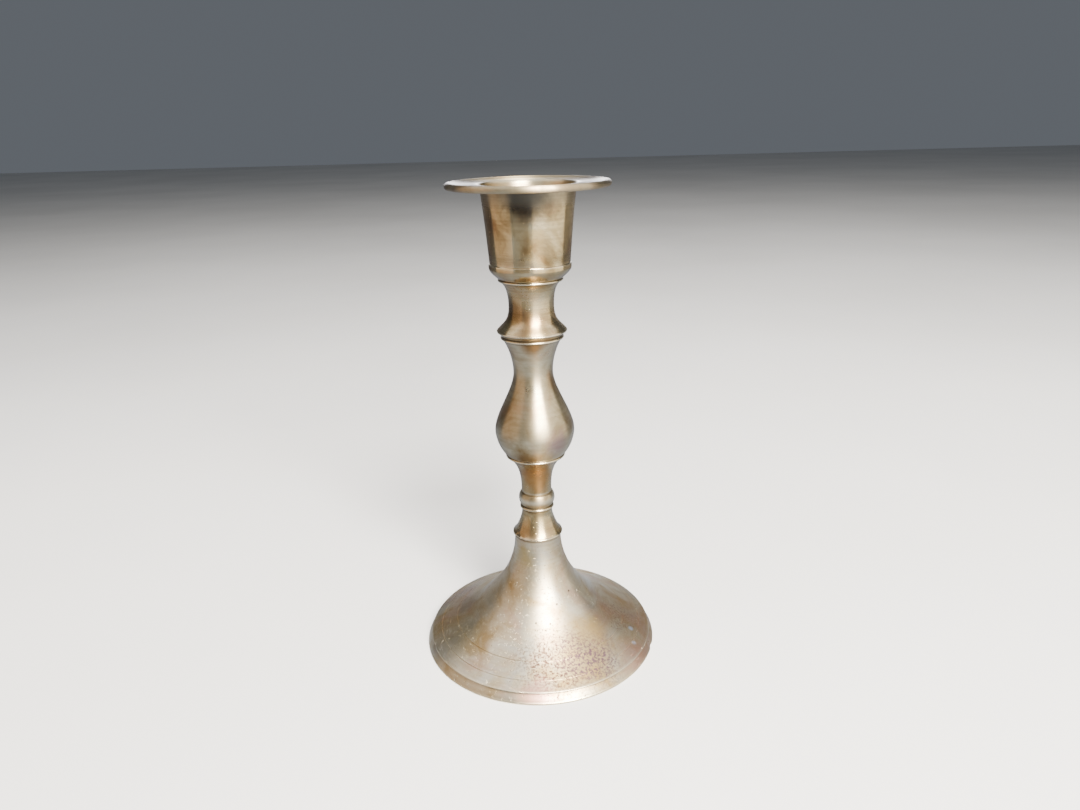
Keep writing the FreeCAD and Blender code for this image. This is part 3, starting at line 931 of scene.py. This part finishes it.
@dataclass
class BeadRing(TurnedPiece):
    """The loose ring with a full round bead."""

    groove: float = 5.3
    groove_width: float = 0.45
    edge: float = 5.6
    bead: float = 6.2

    def outline(self) -> Outline:
        """Round the bead and back through the bore.

        Returns:
            The outline.
        """
        low, high = self.base, self.high
        bore = FITS.slim_spigot + FITS.radial
        bead_low, bead_high = low + self.groove_width, high - self.groove_width
        line = Outline(bore, low, pitch=0.3).line(self.groove, low).line(self.groove, bead_low)
        line.line(self.edge, bead_low)
        line.arc((self.bead, (bead_low + bead_high) / 2), (self.edge, bead_high), steps=18)
        line.line(self.groove, bead_high).line(self.groove, high).line(bore, high)
        return line.line(bore, low)

    def crests(self) -> list[Place]:
        """The middle of the bead."""
        return [(self.bead, self.base + self.height / 2, 0.9)]

    def grooves(self) -> list[Place]:
        """Both grooves beside the bead."""
        return [(self.groove, self.base + 0.25, 0.3), (self.groove, self.base + self.height - 0.25, 0.3)]


@dataclass
class RidgedPiece(TurnedPiece):
    """A piece that flares at its top and ends in a thin ridge."""

    flare: float = 9.75
    ridge: float = 10.2
    ridge_thickness: float = 0.7

    def end_in_ridge(self, line: Outline, first: Point, second: Point) -> Outline:
        """Takes an outline up the flare, round the ridge and in to the seam.

        Args:
            line: The outline so far.
            first: The step to the flare's first handle.
            second: The step to its second handle.

        Returns:
            The outline.
        """
        low = self.high - FITS.seam_groove - self.ridge_thickness
        edge = self.ridge - FITS.ridge_round
        line.curve(first, second, (self.flare, low)).line(edge, low)
        line.arc((self.ridge, low + self.ridge_thickness / 2), (edge, low + self.ridge_thickness))
        return line.line(edge - FITS.seam_step, self.high)

    def crests(self) -> list[Place]:
        """The ridge."""
        return [(self.ridge, self.high - 0.45, 0.35)]

    def grooves(self) -> list[Place]:
        """Under the ridge and at the seam above it."""
        return [(self.flare, self.high - 0.95, 0.3), (self.ridge - 0.4, self.high, 0.2)]


@dataclass
class LowerNeck(RidgedPiece):
    """The small trumpet neck with a thin ridge on top and a long spigot below."""

    neck: float = 5.15
    flare_start: float = 1.0
    flare: float = 9.6
    ridge: float = 10.06
    bead_height: float = 5.1

    def outline(self) -> Outline:
        """Up the outside from the long spigot and back down the rod's hole.

        Returns:
            The outline.
        """
        low, high = self.base, self.high
        end = low - self.bead_height - FITS.slim_grip
        top = high + FITS.spigot_length
        line = Outline(FITS.hole, end, pitch=0.3).line(FITS.slim_spigot, end).line(FITS.slim_spigot, low)
        line.line(self.neck, low).line(self.neck, low + self.flare_start, shows=True)
        self.end_in_ridge(line, (0, 6.7), (-3.0, -2.6))
        line.line(FITS.spigot, high).line(FITS.spigot, top).line(FITS.hole, top)
        return line.line(FITS.hole, end)

    def crests(self) -> list[Place]:
        """The ridge and the lower shoulder."""
        return [*super().crests(), (self.neck, self.base + 0.2, 0.3)]

    def grooves(self) -> list[Place]:
        """Round the ridge and at the seam over the bead ring."""
        return [*super().grooves(), (self.neck - 0.2, self.base, 0.3)]


@dataclass
class Vase(RidgedPiece):
    """The pear-shaped section with a narrow waist and a ridge on top."""

    foot: float = 9.85
    belly: float = 13.3
    belly_height: float = 8.4
    waist: float = 6.5
    waist_drop: float = 11.9
    ridge: float = 10.26

    def outline(self) -> Outline:
        """Up the outside and down through the two recesses.

        Returns:
            The outline.
        """
        low, high = self.base, self.high
        recess = FITS.spigot + FITS.radial
        depth = FITS.spigot_length + FITS.end_gap
        line = Outline(recess, low, pitch=0.35).line(self.foot - FITS.seam_step, low)
        line.line(self.foot, low + FITS.seam_groove)
        line.curve((2.6, 2.5), (0, -1.6), (self.belly, low + self.belly_height))
        line.curve((0, 5.8), (0, -6.3), (self.waist, high - self.waist_drop))
        self.end_in_ridge(line, (0, 3.8), (-1.8, -2.4))
        line.line(recess, high).line(recess, high - depth).line(FITS.hole, high - depth)
        return line.line(FITS.hole, low + depth).line(recess, low + depth).line(recess, low)

    def crests(self) -> list[Place]:
        """The ridge and the lower edge."""
        return [*super().crests(), (self.foot + 0.2, self.base + 0.3, 0.3)]

    def grooves(self) -> list[Place]:
        """Round the ridge and at the lower seam."""
        return [*super().grooves(), (self.foot, self.base, 0.25)]


@dataclass
class Knop(RidgedPiece):
    """The waisted section with a sharp undercut lip below and a ridge on top."""

    foot: float = 9.9
    lip: float = 11.34
    lip_height: float = 1.35
    lip_thickness: float = 0.75
    lip_round: float = 0.25
    waist: float = 7.28
    waist_height: float = 9.8
    ridge: float = 10.38

    def outline(self) -> Outline:
        """Up the outside from the spigot and down through the recess.

        Returns:
            The outline.
        """
        low, high = self.base, self.high
        lip_low, lip_edge = low + self.lip_height, self.lip - self.lip_round
        recess = FITS.spigot + FITS.radial
        depth = FITS.spigot_length + FITS.end_gap
        end = low - FITS.spigot_length
        line = Outline(FITS.hole, end, pitch=0.3).line(FITS.spigot, end).line(FITS.spigot, low)
        line.line(self.foot, low)
        line.curve((0.1, 0.5), (-0.5, -0.1), (lip_edge, lip_low))
        line.arc((self.lip, lip_low + self.lip_thickness / 2), (lip_edge, lip_low + self.lip_thickness))
        line.curve((-1.35, 1.85), (0, -5.15), (self.waist, low + self.waist_height))
        self.end_in_ridge(line, (0, 5.6), (-1.1, -1.1))
        line.line(recess, high).line(recess, high - depth).line(FITS.hole, high - depth)
        return line.line(FITS.hole, end)

    def crests(self) -> list[Place]:
        """The ridge and the lip."""
        return [*super().crests(), (self.lip, self.base + 1.7, 0.4)]

    def grooves(self) -> list[Place]:
        """Round the ridge and under the lip."""
        return [*super().grooves(), (self.foot, self.base + 0.2, 0.4)]


@dataclass
class CandleCup(TurnedPiece):
    """The tapered cup with a bead at its foot and a wide dished drip flange."""

    foot: float = 10.2
    bead: float = 13.03
    bead_height: float = 3.5
    bead_width: float = 1.3
    bead_round: float = 0.15
    wall_foot: float = 12.72
    wall_top: float = 14.75
    floor: float = 7.1
    bore: float = 11.2
    bore_length: float = 14.0
    mouth: float = 14.8
    mouth_round: float = 1.6
    mouth_drop: float = 0.85
    flange: float = 25.4
    rim: float = 2.1
    rim_slope: float = 2.6
    dish: float = 0.55
    fall: float = 0.1
    fillet_height: float = 0.7
    fillet_width: float = 0.9
    tapped: float = 2.06
    tapped_end: float = 4.7
    dents: tuple[Dent, ...] = (Dent(-64, 25.2, 158.9, 2.4, 0.25), Dent(12, 25.2, 158.9, 1.8, 0.16))

    def outline(self) -> Outline:
        """From the tapped hole round the outside, over the flange and down the candle's bore to the axis.

        Returns:
            The outline.
        """
        low, high = self.base, self.high
        end = low - FITS.spigot_length
        bead_high = low + self.bead_height + self.bead_width
        rim_low, rim_edge = high - self.rim, self.flange - self.rim / 2
        corner = self.bead_round * (1 - math.sqrt(0.5))
        line = Outline(0, low + self.tapped_end, pitch=0.4).line(self.tapped, low + self.tapped_end)
        line.line(self.tapped, end).line(FITS.spigot, end).line(FITS.spigot, low).line(self.foot, low)
        line.curve((1.3, 1.15), (0, -1.2), (self.bead, low + self.bead_height))
        line.line(self.bead, bead_high - self.bead_round, shows=True)
        line.arc((self.bead - corner, bead_high - corner), (self.bead - self.bead_round, bead_high), steps=4)
        line.line(self.wall_foot, bead_high + FITS.seam_step)
        line.curve((0.5, 6.5), (-0.55, -3.2), (self.wall_top, rim_low - self.fillet_height))
        line.curve((0.08, 0.45), (-0.5, 0), (self.wall_top + self.fillet_width, rim_low))
        line.line(rim_edge, rim_low, shows=True).arc((self.flange, high - self.rim / 2), (rim_edge, high), steps=12)
        line.curve((-0.7, 0), (1.1, 0.1), (rim_edge - self.rim_slope, high - self.dish))
        line.line(self.mouth + self.mouth_round, high - self.dish - self.fall, shows=True)
        line.curve((-0.9, 0.02), (0.35, 0.7), (self.mouth, high - self.dish - self.mouth_drop))
        line.curve((-1.2, -2.4), (0, 2.2), (self.bore, low + self.floor + self.bore_length))
        line.line(self.bore, low + self.floor, shows=True)
        return line.line(0, low + self.floor, shows=True)

    def crests(self) -> list[Place]:
        """The bead's sharp upper edge and the edge of the mouth."""
        return [(self.bead, self.base + 4.7, 0.3), (self.mouth + 0.8, self.high - self.dish - 0.3, 0.6)]

    def dulled(self) -> list[Place]:
        """The flange's rim, its top face and the mouth, where wax and fingers have been."""
        return [(self.flange - 0.8, self.high - self.rim / 2, 2.2), (18.5, self.high - self.dish, 5.5),
                (self.mouth - 1.5, self.high - 3.5, 3.0)]

    def grooves(self) -> list[Place]:
        """In the corner under the flange, at the bottom of the bore and at the seam below."""
        return [(self.wall_top + 0.3, self.high - self.rim - 0.2, 0.5),
                (self.bore, self.base + self.floor, 1.4), (self.foot, self.base, 0.3)]


@dataclass
class Hardware:
    """The steel that holds the stack together, dressed where the frame has it."""

    rod: str = "tie_rod"
    rings: tuple[str, str, str] = ("washer", "lock_washer", "nut")

    def dress(self, nodes: dict[str, Object]) -> None:
        """Plates the rod and the parts on it.

        Args:
            nodes: The frame's nodes by name.
        """
        thread = ZincFinish("zinc_plated_rod", "#8f9396", "#b9bcbb", 0.34, 0.9).make()
        plate = ZincFinish("zinc_plated_washers", "#a3a7a9", "#cfd0cc", 0.30, 1.3).make()
        for name in (self.rod, *self.rings):
            node = nodes[name]
            node.data.materials.clear()
            node.data.materials.append(thread if name == self.rod else plate)
            log.info("%s: plated", name)


@dataclass
class Studio:
    """The floor, the lights and the camera. Lengths are in metres."""

    floor_size: float = 9.0
    eye: Place = (0.0, -0.24934, 0.17517)
    yaw: float = 0.445
    pitch: float = 19.30
    roll: float = -1.50
    lens: float = 26.48

    def build(self) -> None:
        """Builds all of it."""
        self.lay_floor()
        self.softbox("window_right", 55, 0.33, 0.28, (0.70, 0.56), 2.1, "#fff6ea", aim=0.28)
        self.softbox("window_left", -76, 0.33, 0.28, (0.37, 0.56), 0.42, "#ffd5a6", aim=0.28)
        self.softbox("key", 24, 0.78, 0.60, (0.44, 0.34), 33.0, "#fffaf2", aim=0.07)
        self.softbox("key_high", 18, 0.60, 0.84, (0.34, 0.30), 44.0, "#fffaf2", aim=0.02)
        self.softbox("overhead", 15, 0.12, 0.80, (1.80, 1.60), 14.0, "#f4f5ff", aim=0.0)
        self.softbox("back", 180, 1.20, 0.36, (1.5, 0.3), 0.45, "#eef2ff", aim=0.15, spread=36)
        self.flag("flag_left", -140, 0.36, (0.46, 0.12), "#2c2c2f")
        self.flag("flag_right", 134, 0.36, (0.46, 0.12), "#4b4a4a")
        self.flag("flag_front", -22, 0.40, (0.30, 0.40), "#6d6963")
        self.mat()
        world = bpy.data.worlds.new("studio_air")
        world.use_nodes = True
        world.node_tree.nodes["Background"].inputs[0].default_value = linear("#a9b0ba")
        world.node_tree.nodes["Background"].inputs[1].default_value = 0.3
        bpy.context.scene.world = world
        self.set_camera()

    def lay_floor(self) -> None:
        """Lays a wide pale board."""
        bpy.ops.object.select_all(action="DESELECT")
        bpy.ops.mesh.primitive_plane_add(size=self.floor_size, location=(0, 0, 0))
        floor = bpy.context.active_object
        floor.name = "floor"
        bpy.ops.object.mode_set(mode="EDIT")
        bpy.ops.mesh.select_all(action="SELECT")
        bpy.ops.mesh.subdivide(number_cuts=8)
        bpy.ops.object.mode_set(mode="OBJECT")
        floor.data.materials.append(FloorFinish().make())
        log.info("floor: laid")

    def softbox(self, name: str, bearing: float, distance: float, height: float, size: Point, power: float,
                colour: str, aim: float, spread: float = 180) -> None:
        """Hangs a rectangular lamp that the camera doesn't see itself.

        Args:
            name: Its name.
            bearing: Degrees about the axis, from the front, to the right.
            distance: How far out it is.
            height: How high it is.
            size: Its width and height.
            power: Watts.
            colour: Its colour.
            aim: The height on the axis that it faces.
            spread: How wide its beam is, in degrees.
        """
        lamp = bpy.data.lights.new(name, "AREA")
        lamp.shape = "RECTANGLE"
        lamp.size, lamp.size_y = size
        lamp.energy = power
        lamp.spread = math.radians(spread)
        lamp.color = linear(colour)[:3]
        turn = math.radians(bearing - 90)
        place = Vector((distance * math.cos(turn), distance * math.sin(turn), height))
        box = bpy.data.objects.new(name, lamp)
        facing = (place - Vector((0, 0, aim))).to_track_quat("Z", "Y").to_matrix().to_4x4()
        box.matrix_world = Matrix.Translation(place) @ facing
        box.visible_camera = False
        bpy.context.scene.collection.objects.link(box)

    def flag(self, name: str, bearing: float, distance: float, size: Point, tone: str) -> None:
        """Stands a matt card on the floor that only reflections see, to give the metal its dark edges.

        Args:
            name: Its name.
            bearing: Degrees about the axis, from the front, to the right.
            distance: How far out it is.
            size: Its width and height.
            tone: Its colour.
        """
        bpy.ops.object.select_all(action="DESELECT")
        bpy.ops.mesh.primitive_plane_add(size=1.0, location=(0, 0, 0))
        card = bpy.context.active_object
        card.name = name
        turn = math.radians(bearing)
        stand = Matrix.Rotation(turn, 4, "Z") @ Matrix.Translation((0, -distance, size[1] / 2 + 0.03))
        lift = Matrix.Rotation(math.radians(90), 4, "X") @ Matrix.Diagonal((size[0], size[1], 1, 1))
        card.data.transform(stand @ lift)
        self.only_reflected(card, CardFinish(name, tone))

    def mat(self) -> None:
        """Lays a dark blue-grey cloth under the candlestick that only reflections see, as wide as the table."""
        bpy.ops.object.select_all(action="DESELECT")
        bpy.ops.mesh.primitive_circle_add(vertices=64, radius=0.9, fill_type="NGON", location=(0, 0, 0))
        mat = bpy.context.active_object
        mat.name = "mat"
        mat.data.transform(Matrix.Translation((0, 0, 0.0004)))
        self.only_reflected(mat, CardFinish("mat_cloth", "#585e6a"))

    def only_reflected(self, card: Object, finish: CardFinish) -> None:
        """Hides a card from everything but reflections.

        Args:
            card: The card.
            finish: What it is covered with.
        """
        card.data.materials.append(finish.make())
        card.visible_camera = False
        card.visible_diffuse = False
        card.visible_shadow = False

    def set_camera(self) -> None:
        """Stands the camera at the front, looking a little down."""
        camera = bpy.data.cameras.new("camera")
        camera.lens = self.lens
        camera.sensor_width = 36.0
        camera.clip_start = 0.01
        eye = bpy.data.objects.new("camera", camera)
        turn = Matrix.Rotation(math.radians(-self.yaw), 4, "Z")
        tilt = Matrix.Rotation(math.radians(90 - self.pitch), 4, "X")
        lean = Matrix.Rotation(math.radians(self.roll), 4, "Z")
        eye.matrix_world = Matrix.Translation(Vector(self.eye)) @ turn @ tilt @ lean
        bpy.context.scene.collection.objects.link(eye)
        bpy.context.scene.camera = eye


def level(node: str, top: bool = False) -> float:
    """Where a node of the frame ends.

    Args:
        node: Its name.
        top: Its upper end, and otherwise its lower one.

    Returns:
        The height in mm.
    """
    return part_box(node)[1 if top else 0].z / MM


def finishes() -> dict[str, BrassFinish]:
    """The brass of each piece, which is the same alloy, aged and handled differently; the cup also has a patch of
    painted shade.
    """
    turned = dict(body="#b9a477", pale="#cebd92", brown="#876e48", bloom="#ae8662", rubbed="#f0e3c0",
                  grime="#33281d", dull="#aea894", roughness=0.31, grain=0.75, line_spacing=0.9, line_depth=0.010,
                  cloud=11.0, fleck=0.9, fleck_share=0.15, pit_depth=0.02)
    foot = dict(turned, roughness=0.40, grain=0.4, body="#ccbe9e", pale="#d9d1ba", brown="#a58c62", bloom="#bd9683",
                cloud=13.0, fleck=0.8, fleck_share=0.4, pit_depth=0.04)
    cup = dict(turned, roughness=0.23, grain=0.9)
    vase = dict(turned, body="#b8aa88", pale="#cfc3a0", brown="#8f7b58", roughness=0.36)
    return {
        "foot": BrassFinish("aged_cast_brass", stains_and_painted_shade=(
            StainAndPaintedShade((13, -28, 8), 19, "#b3985c", 0.6, ragged=0.4),
            StainAndPaintedShade((3, -31, 7), 17, "#5d4238", 0.95, ragged=0.4, speckled=True),
            StainAndPaintedShade((17, -27, 8), 15, "#66495a", 0.9, ragged=0.4, speckled=True),
            StainAndPaintedShade((28, -6, 9), 12, "#8d6b58", 0.7, speckled=True),
            StainAndPaintedShade((-30, 14, 8), 14, "#94795d", 0.6, speckled=True),
            StainAndPaintedShade((17, -18, 12), 9, "#c2a263", 0.5),
            StainAndPaintedShade((-26, 2, 11), 8, "#8f7350", 0.55),
            StainAndPaintedShade((-27, -14, 8), 10, "#a3966f", 0.45),
            StainAndPaintedShade((-5, -7, 35), 6, "#a99352", 0.6),
            StainAndPaintedShade((-10.8, 0.8, 28), 2.2, "#e9e5d8", 0.85, ragged=0.8),
            StainAndPaintedShade((31.9, -10.2, 6.6), 1.4, "#d3dae4", 0.9, ragged=0.3),
            StainAndPaintedShade((32.3, -16.6, 5.2), 1.1, "#d3dae4", 0.85, ragged=0.3),
            StainAndPaintedShade((-2.6, -40, 1.6), 9, "#b88478", 0.65),
            StainAndPaintedShade((34, -22, 1.5), 12, "#b98a7c", 0.6),
            *(StainAndPaintedShade(spot, 0.5, "#3b2c25", 0.95, ragged=0.2) for spot in (
                (10.1, -9.6, 22.4), (5.8, -14.5, 20.3), (-1.5, -19.4, 16.3), (3.3, -19.5, 15.9))),
        ), **foot),
        "skirt": BrassFinish("turned_brass_collar", **turned),
        "bead": BrassFinish("turned_brass_bead", **vase),
        "neck": BrassFinish("turned_brass_neck", stains_and_painted_shade=(
            StainAndPaintedShade((0, -5.5, 64), 7, "#a87840", 0.75, ragged=0.3),
        ), **turned),
        "vase": BrassFinish("turned_brass_vase", stains_and_painted_shade=(
            StainAndPaintedShade((7, -10, 78), 6, "#9d7c7e", 0.6),
            StainAndPaintedShade((-3, -9.5, 73.5), 6, "#7b5f38", 0.75, ragged=0.3),
            StainAndPaintedShade((0, -9.5, 110), 4.5, "#85653a", 0.75, ragged=0.3),
        ), **vase),
        "knop": BrassFinish("turned_brass_knop", stains_and_painted_shade=(
            StainAndPaintedShade((-6, -4, 121), 6, "#6a563a", 0.8, ragged=0.3),
        ), **turned),
        "cup": BrassFinish("turned_brass_cup", stains_and_painted_shade=(
            # Painted shade and painted reflection: this dark patch on the front top of the cup wall, under the
            # flange, stands for the flange's shadow and a dark reflection. It is not tarnish.
            StainAndPaintedShade((-0.8, -14.6, 155.8), 10.5, "#261c14", 0.95, ragged=0.25),
        ), **cup),
    }


def main() -> None:
    """Builds the studio and every piece."""
    logging.basicConfig(level=logging.INFO, format="%(name)s: %(message)s")
    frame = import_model()
    Studio().build()
    brass = finishes()
    skirt, bead, neck = level("skirt_collar"), level("bead_ring"), level("bead_ring", top=True)
    vase, knop, cup = level("vase"), level("vase", top=True), level("knop", top=True)
    foot = Foot("cast_foot", "foot", 0.0, skirt, segments=288, slot=Slot.CAST)
    piece = foot.build()
    foot.dress(piece, brass["foot"].make())
    foot.split_hollow(piece, SandCastFinish().make())
    turned: list[tuple[TurnedPiece, str]] = [
        (SkirtCollar("turned_collar", "skirt_collar", skirt, bead - skirt), "skirt"),
        (BeadRing("turned_bead", "bead_ring", bead, neck - bead), "bead"),
        (LowerNeck("turned_neck", "lower_neck", neck, vase - neck), "neck"),
        (Vase("turned_vase", "vase", vase, knop - vase), "vase"),
        (Knop("turned_knop", "knop", knop, cup - knop), "knop"),
        (CandleCup("turned_cup", "candle_cup", cup, level("candle_cup", top=True) - cup, segments=240), "cup"),
    ]
    for section, finish in turned:
        section.dress(section.build(), brass[finish].make())
    Hardware().dress(frame["nodes"])


if __name__ == "__main__":
    main()
